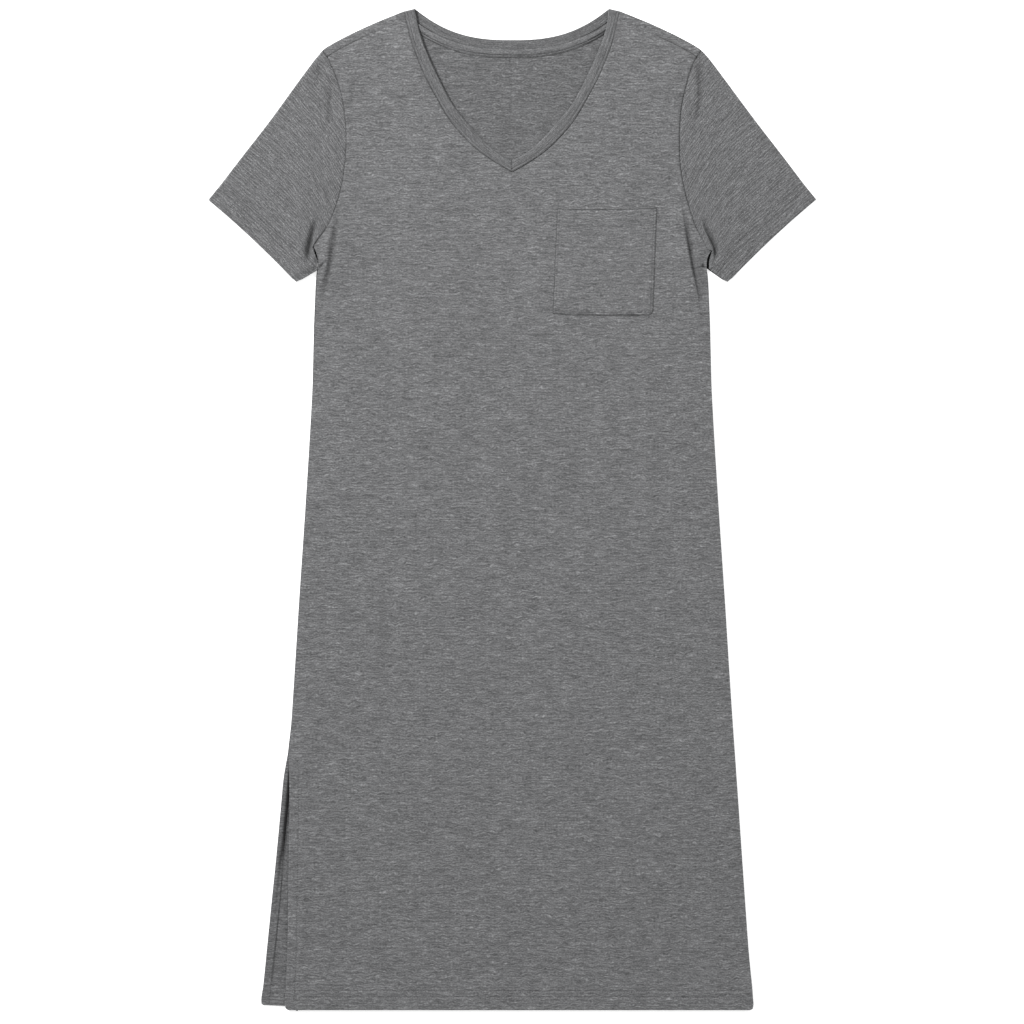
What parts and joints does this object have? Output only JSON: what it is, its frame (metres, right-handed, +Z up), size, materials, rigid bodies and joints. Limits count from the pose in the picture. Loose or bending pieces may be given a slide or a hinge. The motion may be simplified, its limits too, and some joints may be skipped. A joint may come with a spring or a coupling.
{
  "type": "t-shirt dress",
  "caption": "Knee-length jersey T-shirt dress with V neck, short set-in sleeves, chest pocket and one side slit, laid flat and face up.",
  "frame": {"origin": "on the surface the dress lies on, under the centre of its outline", "axes": "+X towards the wearer's left, +Y from the hem to the neck, +Z up out of the front"},
  "size_m": [0.6788, 1.12, 0.0057],
  "materials": {
    "jersey": "soft heather grey single jersey, face side, matt",
    "jersey_inside": "soft heather grey single jersey, back panel, matt",
    "tape": "heather grey self-fabric tape, matt"
  },
  "bodies": {
    "root": {"back_panel": "jersey_inside", "front_panel": "jersey", "sleeve_right": "jersey", "sleeve_left": "jersey", "neckband": "jersey", "neck_tape": "tape", "chest_pocket": "jersey"}
  },
  "joints": []
}
